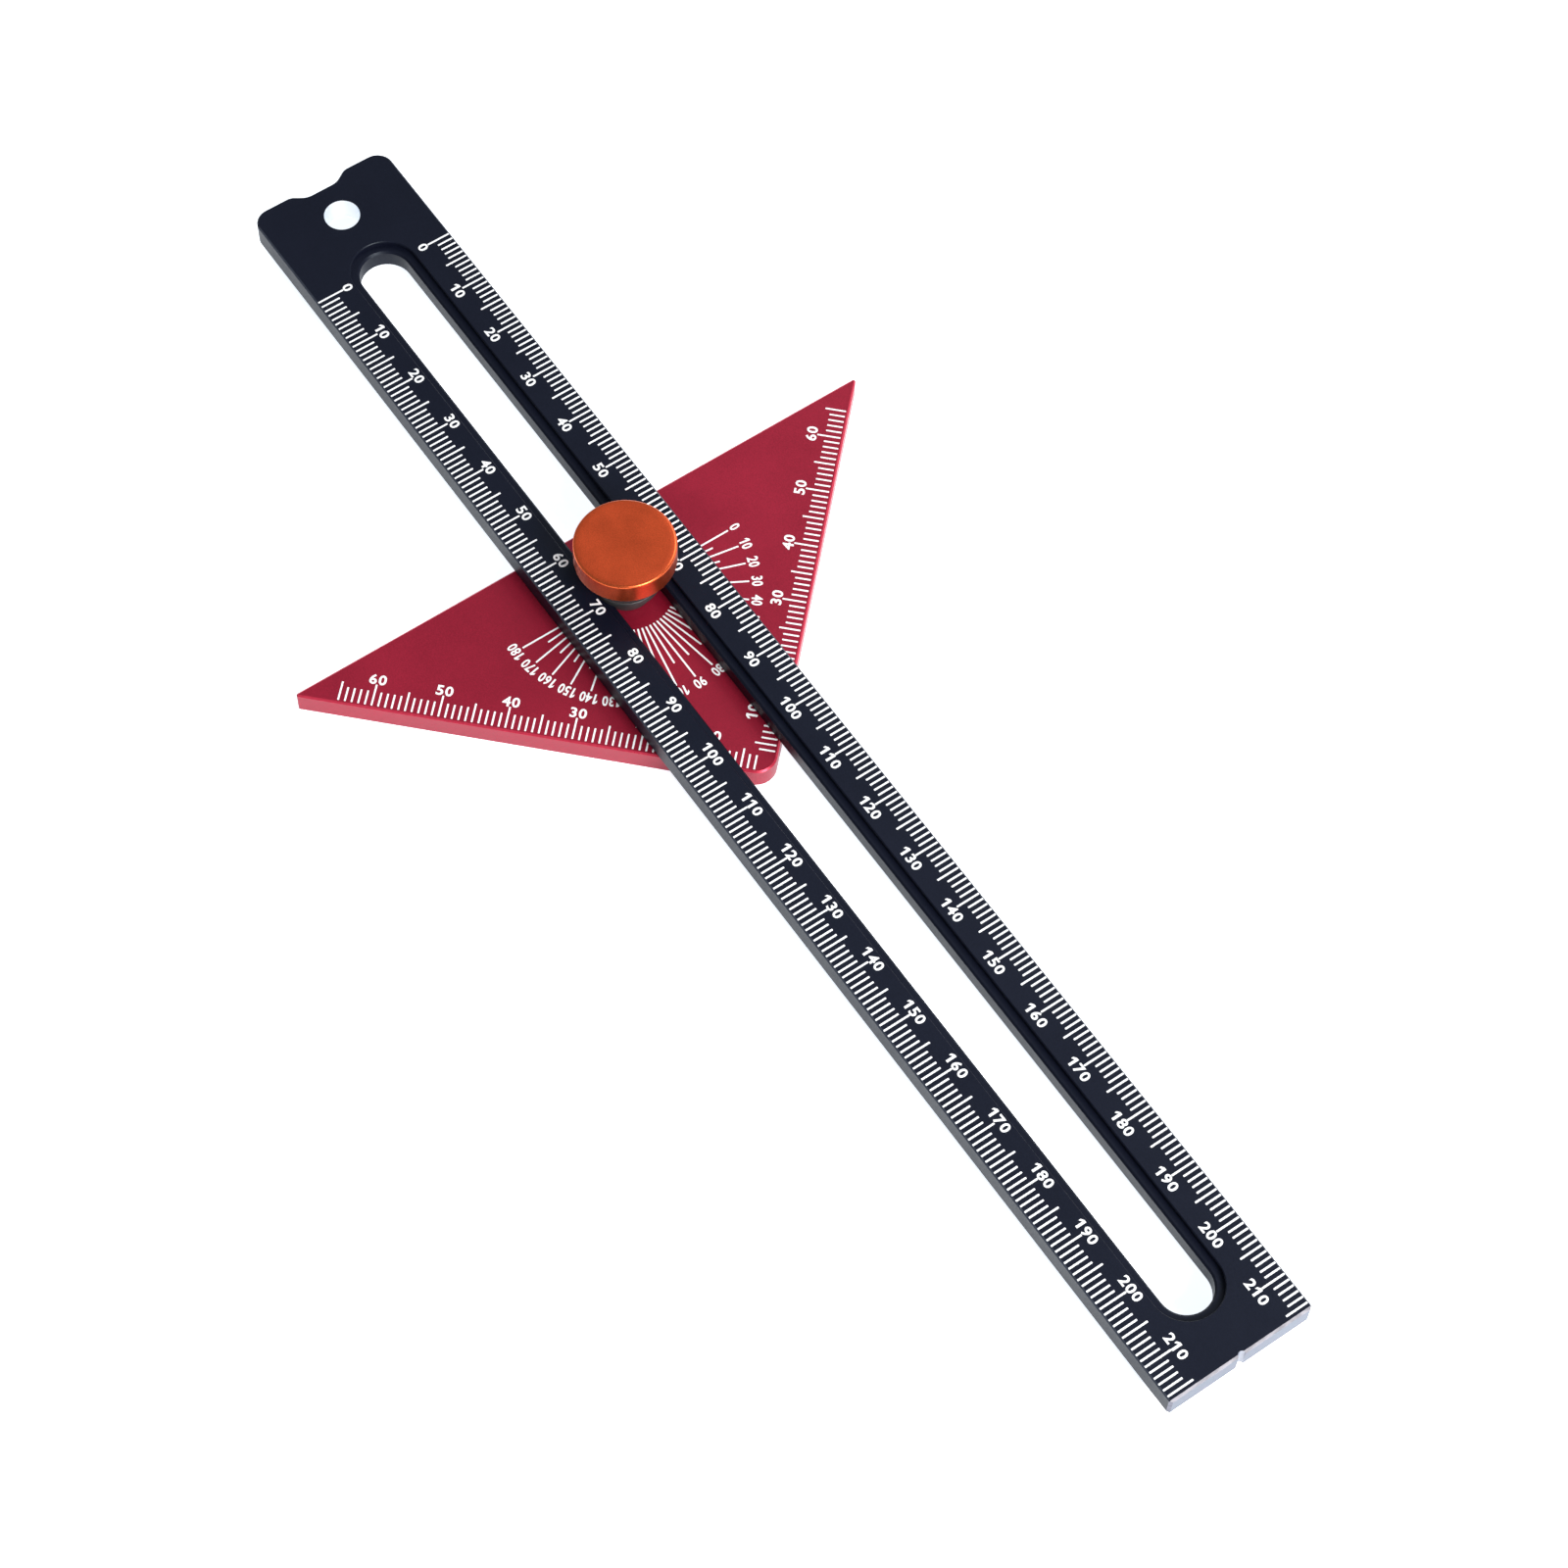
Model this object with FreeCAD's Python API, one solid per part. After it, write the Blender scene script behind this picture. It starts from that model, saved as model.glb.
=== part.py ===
import FreeCAD, Part
import math
import os

from FreeCAD import Vector

# Slotted aluminium rule with a sliding, swivelling 45 degree set-square plate, clamped by a thumb
# knob. Millimetres. Frame: the origin lies under the middle of the rule, on the plate's underside.
# +X runs along the rule towards its ruled far end, +Y across it, +Z up.

# --- Rule (blade) ---
BLADE_LENGTH = 235.8
BLADE_WIDTH = 24.2
BLADE_THICK = 4.0
SCALE_ZERO_FROM_HANG_END = 19.8     # the 0 graduation, measured from the end with the hanging hole
HANG_HOLE_R = 2.8
HANG_HOLE_FROM_END = 7.5
CORNER_R = 2.7                      # the two corners of the hanging end
EDGE_CHAMFER = 0.2
END_CHAMFER = 0.35                  # along the upper edge of the bare far end
FAR_CORNER_CHAMFER = 0.4            # the two upright corners of the far end
NOTCH_R = 0.6                       # centre-line notch in the far end

# Thumb hollow in the hanging end
HOLLOW_DEPTH = 1.45
HOLLOW_MOUTH = 4.9                  # half width where it leaves the end face
HOLLOW_FLOOR = 2.7                  # half width of its floor
HOLLOW_LIP_R = 2.0
HOLLOW_FLOOR_R = 3.0

# Slot along the rule, with a step in the upper face that carries the guide bush's flange
SLOT_HALF_WIDTH = 4.06
SLOT_FIRST_CENTRE = 0.4             # rule reading at the centre of the slot's first round end
SLOT_LAST_CENTRE = 203.6            # rule reading at the centre of its last round end
STEP_WIDTH = 1.35
STEP_DEPTH = 1.0
SLOT_LIP_CHAMFER = 0.3              # where the slot opens into its step
STEP_EDGE_CHAMFER = 0.12            # where the step opens into the upper face

# --- 45 degree plate ---
PLATE_LEG = 71.7                    # sharp corner to sharp corner, before rounding
PLATE_THICK = 4.0
PLATE_CORNER_READING = 106.1        # rule reading under the plate's sharp right-angle corner
PLATE_TIP_R = 3.2
PLATE_POINT_R = 0.35                # rounding of the two 45 degree points
PLATE_CHAMFER = 0.25

# --- Pivot and clamp ---
PIVOT_READING = 67.5                # rule reading at the pivot's centre
SLIP = 0.02                         # clearance between flat sliding faces
SCREW_R = 2.0                       # M4
SCREW_HEAD_R = 4.0
SCREW_HEAD_SINK = 0.15              # the head's face lies this far inside the plate's underside
SCREW_HEAD_RIM = 0.15
SCREW_TOP = 14.2
SCREW_END_CHAMFER = 0.4
SOCKET_ACROSS_FLATS = 2.5
SOCKET_DEPTH = 1.4
BUSH_BORE_R = 2.08
BUSH_SIDE_GAP = 0.06                # barrel to slot wall
BUSH_LIFT = 0.1                     # barrel end to plate, so that the clamp grips the rule
FLANGE_THICK = 1.1
FLANGE_SIDE_GAP = 0.1
WASHER_R = 4.5
WASHER_BORE_R = 2.15
WASHER_THICK = 0.6

# --- Knob ---
KNOB_HEAD_R = 7.7
KNOB_HEAD_THICK = 3.9
KNOB_HUB_R = 3.9
KNOB_HUB_LENGTH = 4.0
KNOB_TOP_CHAMFER = 0.4
KNOB_LOWER_CHAMFER = 0.15
KNOB_BORE_R = 2.06
KNOB_BORE_DEPTH = 6.3

# --- Places worked out from the sizes above ---
HANG_END_X = -BLADE_LENGTH / 2
FAR_END_X = BLADE_LENGTH / 2
SCALE_ZERO_X = HANG_END_X + SCALE_ZERO_FROM_HANG_END
PIVOT_X = SCALE_ZERO_X + PIVOT_READING
PLATE_CORNER_X = SCALE_ZERO_X + PLATE_CORNER_READING
PLATE_ALTITUDE = PLATE_LEG / math.sqrt(2)
BLADE_Z = PLATE_THICK + SLIP
BLADE_TOP_Z = BLADE_Z + BLADE_THICK
STEP_Z = BLADE_TOP_Z - STEP_DEPTH
FLANGE_Z = STEP_Z + SLIP
WASHER_Z = FLANGE_Z + FLANGE_THICK
HUB_Z = WASHER_Z + WASHER_THICK
HEAD_Z = HUB_Z + KNOB_HUB_LENGTH
KNOB_TOP_Z = HEAD_Z + KNOB_HEAD_THICK

UP = Vector(0, 0, 1)
TOLERANCE = 1e-4


def rounded_prism(corners, z, height):
    """Prism over a closed outline of (x, y, radius) corners, listed counter-clockwise."""
    edges = []
    starts = []
    ends = []
    for i, (x, y, radius) in enumerate(corners):
        here = Vector(x, y, z)
        before = Vector(corners[i - 1][0], corners[i - 1][1], z)
        after_x, after_y, _ = corners[(i + 1) % len(corners)]
        back = (before - here).normalize()
        ahead = (Vector(after_x, after_y, z) - here).normalize()
        half_angle = back.getAngle(ahead) / 2
        tangent = radius / math.tan(half_angle)
        starts.append(here + back * tangent)
        ends.append(here + ahead * tangent)
        if radius > 0:
            bisector = (back + ahead).normalize()
            middle = here + bisector * (radius / math.sin(half_angle) - radius)
            edges.append(Part.Arc(starts[i], middle, ends[i]).toShape())
    for i, end in enumerate(ends):
        edges.append(Part.LineSegment(end, starts[(i + 1) % len(starts)]).toShape())
    wire = Part.Wire(Part.__sortEdges__(edges))
    return Part.Face(wire).extrude(UP * height)


def stadium(first_x, last_x, half_width, z, height):
    """Slot-shaped solid along X between two round ends."""
    middle = Part.makeBox(last_x - first_x, 2 * half_width, height, Vector(first_x, -half_width, z))
    round_ends = [Part.makeCylinder(half_width, height, Vector(x, 0, z)) for x in (first_x, last_x)]
    return middle.multiFuse(round_ends).removeSplitter()


def turned(profile):
    """Solid of revolution about the pivot's axis from (radius, z) points."""
    points = [Vector(PIVOT_X + radius, 0, z) for radius, z in profile]
    face = Part.Face(Part.makePolygon(points + [points[0]]))
    return face.revolve(Vector(PIVOT_X, 0, 0), UP, 360)


def rim_edges(solid, z):
    """Edges of the solid that lie flat at height z."""
    low, high = z - TOLERANCE, z + TOLERANCE
    return [e for e in solid.Edges if e.BoundBox.ZMin > low and e.BoundBox.ZMax < high]


def slot_rim(solid, z, half_width):
    """Edges at height z that run round the slot, none of them further out than half_width."""
    reach = half_width + TOLERANCE
    first_x = SCALE_ZERO_X + SLOT_FIRST_CENTRE - reach
    last_x = SCALE_ZERO_X + SLOT_LAST_CENTRE + reach
    boxes = [(e, e.BoundBox) for e in rim_edges(solid, z)]
    return [e for e, b in boxes if b.XMin > first_x and b.XMax < last_x and b.YMax < reach
            and b.YMin > -reach]


def make_blade():
    half = BLADE_WIDTH / 2
    hollow_x = HANG_END_X + HOLLOW_DEPTH
    body = rounded_prism([
        (FAR_END_X - FAR_CORNER_CHAMFER, -half, 0),
        (FAR_END_X, -half + FAR_CORNER_CHAMFER, 0),
        (FAR_END_X, half - FAR_CORNER_CHAMFER, 0),
        (FAR_END_X - FAR_CORNER_CHAMFER, half, 0),
        (HANG_END_X, half, CORNER_R),
        (HANG_END_X, HOLLOW_MOUTH, HOLLOW_LIP_R),
        (hollow_x, HOLLOW_FLOOR, HOLLOW_FLOOR_R),
        (hollow_x, -HOLLOW_FLOOR, HOLLOW_FLOOR_R),
        (HANG_END_X, -HOLLOW_MOUTH, HOLLOW_LIP_R),
        (HANG_END_X, -half, CORNER_R),
    ], BLADE_Z, BLADE_THICK)

    far_edge = [e for e in rim_edges(body, BLADE_TOP_Z) if e.BoundBox.XMin > FAR_END_X - TOLERANCE]
    body = body.makeChamfer(END_CHAMFER, far_edge)
    inner_end = FAR_END_X - FAR_CORNER_CHAMFER - TOLERANCE
    upper = [e for e in rim_edges(body, BLADE_TOP_Z) if e.BoundBox.XMin < inner_end]
    lower = [e for e in rim_edges(body, BLADE_Z) if e.BoundBox.XMin < inner_end]
    body = body.makeChamfer(EDGE_CHAMFER, upper + lower)

    first_x = SCALE_ZERO_X + SLOT_FIRST_CENTRE
    last_x = SCALE_ZERO_X + SLOT_LAST_CENTRE
    slot = stadium(first_x, last_x, SLOT_HALF_WIDTH, BLADE_Z - 1, BLADE_THICK + 2)
    step = stadium(first_x, last_x, SLOT_HALF_WIDTH + STEP_WIDTH, STEP_Z, STEP_DEPTH + 1)
    body = body.cut([slot, step])

    body = body.makeChamfer(SLOT_LIP_CHAMFER, slot_rim(body, STEP_Z, SLOT_HALF_WIDTH))
    step_half_width = SLOT_HALF_WIDTH + STEP_WIDTH
    body = body.makeChamfer(STEP_EDGE_CHAMFER, slot_rim(body, BLADE_TOP_Z, step_half_width))

    hole_x = HANG_END_X + HANG_HOLE_FROM_END
    hole = Part.makeCylinder(HANG_HOLE_R, BLADE_THICK + 2, Vector(hole_x, 0, BLADE_Z - 1))
    notch = Part.makeCylinder(NOTCH_R, BLADE_THICK + 2, Vector(FAR_END_X, 0, BLADE_Z - 1))
    return body.cut([hole, notch])


def make_angle_plate():
    base_x = PLATE_CORNER_X - PLATE_ALTITUDE
    plate = rounded_prism([
        (PLATE_CORNER_X, 0, PLATE_TIP_R),
        (base_x, PLATE_ALTITUDE, PLATE_POINT_R),
        (base_x, -PLATE_ALTITUDE, PLATE_POINT_R),
    ], 0, PLATE_THICK)
    plate = plate.makeChamfer(PLATE_CHAMFER, rim_edges(plate, 0) + rim_edges(plate, PLATE_THICK))

    # The countersink follows the 90 degree head and carries on to the underside.
    cone_bottom_z = SCREW_HEAD_SINK + SCREW_HEAD_RIM
    cone_top_z = cone_bottom_z + SCREW_HEAD_R - SCREW_R
    hole = turned([
        (0, -1),
        (SCREW_HEAD_R + cone_bottom_z + 1, -1),
        (SCREW_R, cone_top_z),
        (SCREW_R, PLATE_THICK + 1),
        (0, PLATE_THICK + 1),
    ])
    return plate.cut(hole)


def make_clamp_screw():
    cone_bottom_z = SCREW_HEAD_SINK + SCREW_HEAD_RIM
    cone_top_z = cone_bottom_z + SCREW_HEAD_R - SCREW_R
    screw = turned([
        (0, SCREW_HEAD_SINK),
        (SCREW_HEAD_R, SCREW_HEAD_SINK),
        (SCREW_HEAD_R, cone_bottom_z),
        (SCREW_R, cone_top_z),
        (SCREW_R, SCREW_TOP - SCREW_END_CHAMFER),
        (SCREW_R - SCREW_END_CHAMFER, SCREW_TOP),
        (0, SCREW_TOP),
    ])
    corner_r = SOCKET_ACROSS_FLATS / math.sqrt(3)
    angles = [math.radians(60 * i) for i in range(7)]
    start_z = SCREW_HEAD_SINK - 1
    outline = [Vector(PIVOT_X + corner_r * math.cos(a), corner_r * math.sin(a), start_z) for a in angles]
    socket = Part.Face(Part.makePolygon(outline)).extrude(UP * (SOCKET_DEPTH + 1))
    return screw.cut(socket)


def make_guide_bush():
    barrel_r = SLOT_HALF_WIDTH - BUSH_SIDE_GAP
    flange_r = SLOT_HALF_WIDTH + STEP_WIDTH - FLANGE_SIDE_GAP
    return turned([
        (BUSH_BORE_R, PLATE_THICK + BUSH_LIFT),
        (barrel_r, PLATE_THICK + BUSH_LIFT),
        (barrel_r, FLANGE_Z),
        (flange_r, FLANGE_Z),
        (flange_r, WASHER_Z),
        (BUSH_BORE_R, WASHER_Z),
    ])


def make_thrust_washer():
    return turned([
        (WASHER_BORE_R, WASHER_Z),
        (WASHER_R, WASHER_Z),
        (WASHER_R, HUB_Z),
        (WASHER_BORE_R, HUB_Z),
    ])


def make_clamp_knob():
    bore_top_z = HUB_Z + KNOB_BORE_DEPTH
    return turned([
        (KNOB_BORE_R, HUB_Z),
        (KNOB_HUB_R, HUB_Z),
        (KNOB_HUB_R, HEAD_Z),
        (KNOB_HEAD_R - KNOB_LOWER_CHAMFER, HEAD_Z),
        (KNOB_HEAD_R, HEAD_Z + KNOB_LOWER_CHAMFER),
        (KNOB_HEAD_R, KNOB_TOP_Z - KNOB_TOP_CHAMFER),
        (KNOB_HEAD_R - KNOB_TOP_CHAMFER, KNOB_TOP_Z),
        (0, KNOB_TOP_Z),
        (0, bore_top_z),
        (KNOB_BORE_R, bore_top_z),
    ])


PIECES = {
    "blade": make_blade,
    "angle_plate": make_angle_plate,
    "clamp_screw": make_clamp_screw,
    "guide_bush": make_guide_bush,
    "thrust_washer": make_thrust_washer,
    "clamp_knob": make_clamp_knob,
}

os.makedirs("parts", exist_ok=True)
for name, make in PIECES.items():
    make().exportStep(f"parts/{name}.step")
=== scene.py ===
import math

import bpy
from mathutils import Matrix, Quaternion, Vector


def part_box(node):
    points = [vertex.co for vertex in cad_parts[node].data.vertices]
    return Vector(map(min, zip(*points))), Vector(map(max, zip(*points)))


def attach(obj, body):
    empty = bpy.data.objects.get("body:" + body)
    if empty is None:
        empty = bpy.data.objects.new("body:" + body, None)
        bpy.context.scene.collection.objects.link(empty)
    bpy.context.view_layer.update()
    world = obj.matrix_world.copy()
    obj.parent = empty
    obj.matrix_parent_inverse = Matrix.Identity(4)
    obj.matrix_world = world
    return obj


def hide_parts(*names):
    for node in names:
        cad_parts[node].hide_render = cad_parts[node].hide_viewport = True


bl_info = {
    "name": "Sliding Set Square",
    "version": (1, 0, 0),
    "blender": (4, 5, 0),
    "location": "View3D > Sidebar > Set Square",
    "description": "Finishes, graduations and clamp parts of a slotted rule with a 45 degree plate",
    "category": "Object",
}

# Metres throughout. The rule lies along X, its hanging end at -X, and up is +Z.
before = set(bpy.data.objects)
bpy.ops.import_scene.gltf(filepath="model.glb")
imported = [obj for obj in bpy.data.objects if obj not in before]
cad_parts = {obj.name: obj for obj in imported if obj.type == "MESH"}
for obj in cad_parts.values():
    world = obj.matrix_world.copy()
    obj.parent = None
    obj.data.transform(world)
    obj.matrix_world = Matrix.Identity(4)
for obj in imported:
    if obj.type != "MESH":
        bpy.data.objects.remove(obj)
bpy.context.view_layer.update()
MM = 0.001
BLADE_LOW, BLADE_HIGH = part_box("blade")
PLATE_LOW, PLATE_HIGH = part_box("angle_plate")
SCREW_LOW, SCREW_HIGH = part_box("clamp_screw")
BUSH_LOW, BUSH_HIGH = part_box("guide_bush")
WASHER_LOW, WASHER_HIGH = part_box("thrust_washer")
KNOB_LOW, KNOB_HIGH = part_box("clamp_knob")
PIVOT_X = (KNOB_LOW.x + KNOB_HIGH.x) / 2
PIVOT = Vector((PIVOT_X, 0.0, 0.0))
TURN_STEPS = 144
THREAD_STEPS = 36
ROUNDING_STEPS = 5
MERGE = 0.0005 * MM
HAIR = 0.001 * MM
SLOPE = math.sqrt(0.5)
TEN_DEGREES = math.radians(10)
TARGET = Vector((0.01176, -0.00089, 0.0080))
CAMERA_AT = Vector((0.23286, -0.16719, 0.5056))

# Each leg's side of the centre line, the turn of its marks, and its first line past the corner.
LEGS = ((1, math.radians(135), 4), (-1, math.radians(45), 3))
LEG_END = 65


def length(name, description, default):
    return bpy.props.FloatProperty(
        name=name, description=description, default=default, unit="LENGTH", subtype="DISTANCE",
        precision=5)


def colour(name, description, default):
    return bpy.props.FloatVectorProperty(
        name=name, description=description, default=default, subtype="COLOR", size=3, min=0, max=1)


class RuleSizes(bpy.types.PropertyGroup):
    """Sizes and colours of the rule."""

    zero_from_end: length("Zero", "0 graduation from the hanging end", 19.8 * MM)
    last_reading: bpy.props.IntProperty(
        name="Last reading", description="Millimetres that the scale runs to", default=215)
    line_width: length("Line width", "Width of a graduation", 0.30 * MM)
    line_start: length("Line start", "Graduations begin this far inside the edge", 0.22 * MM)
    fine_back: length("Back fine line", "Length of a 1 mm line of the back row", 2.62 * MM)
    five_back: length("Back 5 mm line", "Length of a 5 mm line of the back row", 3.67 * MM)
    ten_back: length("Back 10 mm line", "Length of a 10 mm line of the back row", 3.87 * MM)
    fine_front: length("Front fine line", "Length of a 1 mm line of the front row", 3.25 * MM)
    five_front: length("Front 5 mm line", "Length of a 5 mm line of the front row", 4.30 * MM)
    ten_front: length("Front 10 mm line", "Length of a 10 mm line of the front row", 4.45 * MM)
    numeral_height: length("Numeral height", "Height of the rule's numerals", 1.6 * MM)
    numeral_width: length("Numeral width", "Width of the rule's 0", 1.22 * MM)
    numeral_pitch: length("Numeral pitch", "Distance from digit to digit", 1.4 * MM)
    back_row: length("Back row", "Numerals' centre line from the middle of the rule", 7.15 * MM)
    front_row: length("Front row", "Numerals' centre line from the middle of the rule", 6.6 * MM)
    hole_from_end: length("Hole", "Hanging hole's centre from the end", 7.5 * MM)
    hole_radius: length("Hole radius", "Radius of the hanging hole", 2.8 * MM)
    notch_radius: length("Notch radius", "Radius of the centre notch in the far end", 0.6 * MM)
    edge_chamfer: length("Edge chamfer", "Chamfer along the rule's edges", 0.2 * MM)
    end_chamfer: length("End chamfer", "Chamfer along the far end", 0.35 * MM)
    corner_chamfer: length("Corner chamfer", "Upright corners of the far end", 0.4 * MM)
    black: colour("Black", "Dyed surface", (0.0038, 0.0048, 0.0120))
    # The rule's edge chamfers are paler: partly rubbed, partly a painted highlight line.
    worn_black: colour("Worn black", "Rubbed and highlit edges", (0.035, 0.040, 0.055))
    bare: colour("Bare", "Cut aluminium", (0.150, 0.128, 0.148))
    fresh_cut: colour("Fresh cut", "Chamfer and notch of the far end", (0.31, 0.295, 0.32))
    bright: colour("Bright", "Drilled aluminium of the hanging hole", (0.94, 0.94, 0.95))


class PlateSizes(bpy.types.PropertyGroup):
    """Sizes and colours of the 45 degree plate."""

    corner_x: length("Corner", "Sharp right-angle corner along X", 8.0 * MM)
    tip_radius: length("Tip radius", "Rounding of the right-angle corner", 3.2 * MM)
    chamfer: length("Chamfer", "Chamfer along the plate's edges", 0.25 * MM)
    line_width: length("Line width", "Width of a graduation", 0.28 * MM)
    line_start: length("Line start", "Leg graduations begin this far inside the edge", 0.5 * MM)
    fine_line: length("Fine line", "Length of a 1 mm line", 2.4 * MM)
    five_line: length("5 mm line", "Length of a 5 mm line", 3.2 * MM)
    ten_line: length("10 mm line", "Length of a 10 mm line", 3.6 * MM)
    numeral_height: length("Numeral height", "Height of the leg numerals", 1.7 * MM)
    numeral_width: length("Numeral width", "Width of the leg numerals' 0", 1.2 * MM)
    numeral_pitch: length("Numeral pitch", "Distance from digit to digit", 1.4 * MM)
    numeral_depth: length("Numeral depth", "Numerals' centre line inside the edge", 4.95 * MM)
    fan_start: length("Fan start", "Protractor lines begin at this radius", 7.25 * MM)
    fan_five: length("Fan 5 degree", "5 degree lines end at this radius", 14.8 * MM)
    fan_ten: length("Fan 10 degree", "10 degree lines end at this radius", 18.4 * MM)
    fan_numerals: length("Fan numerals", "Radius of the protractor numerals", 19.6 * MM)
    fan_width: length("Fan numeral width", "Width of the protractor's 0", 0.86 * MM)
    fan_pitch: length("Fan pitch", "Distance from digit to digit", 0.95 * MM)
    red: colour("Red", "Dyed surface", (0.285, 0.0072, 0.027))
    # Paler edge chamfers: partly rubbing, partly a painted highlight.
    pale_red: colour("Pale red", "Rubbed and highlit edges", (0.50, 0.027, 0.058))


class ClampSizes(bpy.types.PropertyGroup):
    """Sizes and colours of the clamp."""

    head_thick: length("Head", "Thickness of the knob's head", 3.9 * MM)
    hub_radius: length("Hub", "Radius of the knob's hub", 3.9 * MM)
    knob_bore: length("Knob bore", "Radius of the knob's threaded hole", 2.06 * MM)
    knob_depth: length("Bore depth", "Depth of the knob's threaded hole", 6.3 * MM)
    top_rounding: length("Top rounding", "Rounding of the knob's top rim", 0.42 * MM)
    lower_rounding: length("Lower rounding", "Rounding of the knob's lower rim", 0.18 * MM)
    thread_radius: length("Thread radius", "Outer radius of the thread", 1.98 * MM)
    thread_root: length("Thread root", "Inner radius of the thread", 1.60 * MM)
    thread_pitch: length("Thread pitch", "Rise of the thread in a turn", 0.7 * MM)
    socket: length("Socket", "Across the flats of the screw's socket", 2.5 * MM)
    socket_depth: length("Socket depth", "Depth of the screw's socket", 1.4 * MM)
    bush_bore: length("Bush bore", "Radius of the bush's hole", 2.08 * MM)
    barrel_radius: length("Barrel", "Radius of the bush in the slot", 4.0 * MM)
    flange_thick: length("Flange", "Thickness of the bush's flange", 1.1 * MM)
    washer_bore: length("Washer bore", "Radius of the washer's hole", 2.15 * MM)
    turned_rough: bpy.props.FloatProperty(
        name="Turned roughness", description="Roughness of the knob's turned side", default=0.28)
    orange: colour("Orange", "Dyed surface of the knob", (0.68, 0.094, 0.030))
    # The rims' paler orange is partly a painted rim highlight, partly rubbing.
    pale_orange: colour("Pale orange", "Rubbed and highlit rims", (0.62, 0.105, 0.032))


class StageSizes(bpy.types.PropertyGroup):
    """Floor, lights and camera."""

    floor_size: length("Floor", "Side of the table top", 60.0)
    floor_thick: length("Floor thickness", "Thickness of the table top", 30 * MM)
    floor_colour: colour("Floor colour", "Pale floor", (0.92, 0.92, 0.92))
    # The floor's glow is painted light from a part that is no lamp.
    floor_glow: bpy.props.FloatProperty(
        name="Floor glow", description="Light given off by the lit table", default=0.92, min=0)
    lens: bpy.props.FloatProperty(
        name="Lens", description="Focal length of the camera in mm", default=90.73)
    roll: bpy.props.FloatProperty(
        name="Roll", description="Camera's turn about its own axis", default=math.radians(2.44),
        subtype="ANGLE")


# --- Modelling helpers ---


def clear_selection():
    if bpy.context.object and bpy.context.object.mode != "OBJECT":
        bpy.ops.object.mode_set(mode="OBJECT")
    bpy.ops.object.select_all(action="DESELECT")


def make_active(piece):
    clear_selection()
    piece.select_set(True)
    bpy.context.view_layer.objects.active = piece


def apply_place(pieces):
    clear_selection()
    for piece in pieces:
        piece.select_set(True)
    bpy.context.view_layer.objects.active = pieces[0]
    bpy.ops.object.transform_apply(location=True, rotation=True, scale=True)


def joined(pieces, name):
    """One piece from several, with its place in its mesh."""
    apply_place(pieces)
    if len(pieces) > 1:
        bpy.ops.object.join()
    piece = bpy.context.view_layer.objects.active
    piece.name = name
    piece.data.name = name
    return piece


def edit(piece, kind):
    """Edit mode with nothing selected, choosing VERT, EDGE or FACE."""
    make_active(piece)
    bpy.ops.object.mode_set(mode="EDIT")
    bpy.ops.mesh.select_mode(type=kind)
    bpy.ops.mesh.select_all(action="DESELECT")


def pick(piece, kind, test):
    """Selects in edit mode the vertices, edges or faces that pass the test."""
    edit(piece, kind)
    bpy.ops.object.mode_set(mode="OBJECT")
    mesh = piece.data
    if kind == "VERT":
        for vertex in mesh.vertices:
            vertex.select = test(vertex.co)
    elif kind == "EDGE":
        for line in mesh.edges:
            line.select = test([mesh.vertices[i].co for i in line.vertices])
    else:
        for face in mesh.polygons:
            face.select = test(face)
    bpy.ops.object.mode_set(mode="EDIT")


def close_up(piece):
    """Merges doubles, turns all faces outwards and leaves edit mode."""
    edit(piece, "VERT")
    bpy.ops.mesh.select_all(action="SELECT")
    bpy.ops.mesh.remove_doubles(threshold=MERGE)
    bpy.ops.mesh.normals_make_consistent(inside=False)
    bpy.ops.object.mode_set(mode="OBJECT")


def apply_modifiers(piece):
    make_active(piece)
    for modifier in list(piece.modifiers):
        bpy.ops.object.modifier_apply(modifier=modifier.name)


def smooth(piece, angle=35):
    """Smooth shading in which flat faces stay flat beside their roundings."""
    make_active(piece)
    bpy.ops.object.shade_smooth_by_angle(angle=math.radians(angle))
    weighted = piece.modifiers.new("flat faces", "WEIGHTED_NORMAL")
    weighted.keep_sharp = True
    weighted.weight = 80
    apply_modifiers(piece)


def traced(name, corners):
    """A chain of edges through (radius, height, rounding) corners, beside the pivot's axis."""
    clear_selection()
    first = Vector((PIVOT_X + corners[0][0], 0.0, corners[0][1]))
    bpy.ops.mesh.primitive_plane_add(size=MM, location=(0, 0, 0))
    piece = bpy.context.object
    piece.name = name
    piece.data.name = name
    edit(piece, "VERT")
    bpy.ops.mesh.select_all(action="SELECT")
    bpy.ops.mesh.merge(type="CENTER")
    bpy.ops.transform.translate(value=first)
    here = first
    for radius, height, _ in corners[1:]:
        there = Vector((PIVOT_X + radius, 0.0, height))
        bpy.ops.mesh.extrude_vertices_move(TRANSFORM_OT_translate={"value": there - here})
        here = there
    for radius, height, rounding in corners:
        if rounding > 0:
            corner = Vector((PIVOT_X + radius, 0.0, height))
            pick(piece, "VERT", lambda co: (co - corner).length < HAIR)
            bpy.ops.mesh.bevel(
                offset=rounding, segments=ROUNDING_STEPS, profile=0.5, affect="VERTICES")
    bpy.ops.object.mode_set(mode="OBJECT")
    return piece


def turned(name, corners, closed=False):
    """A solid turned about the pivot's axis from its traced half section."""
    piece = traced(name, corners)
    edit(piece, "VERT")
    bpy.ops.mesh.select_all(action="SELECT")
    if closed:
        ends = (corners[0], corners[-1])
        places = [Vector((PIVOT_X + r, 0.0, z)) for r, z, _ in ends]
        pick(piece, "VERT", lambda co: min((co - p).length for p in places) < HAIR)
        bpy.ops.mesh.edge_face_add()
        bpy.ops.mesh.select_all(action="SELECT")
    bpy.ops.mesh.spin(steps=TURN_STEPS, angle=math.tau, center=PIVOT, axis=(0, 0, 1))
    close_up(piece)
    return piece


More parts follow.
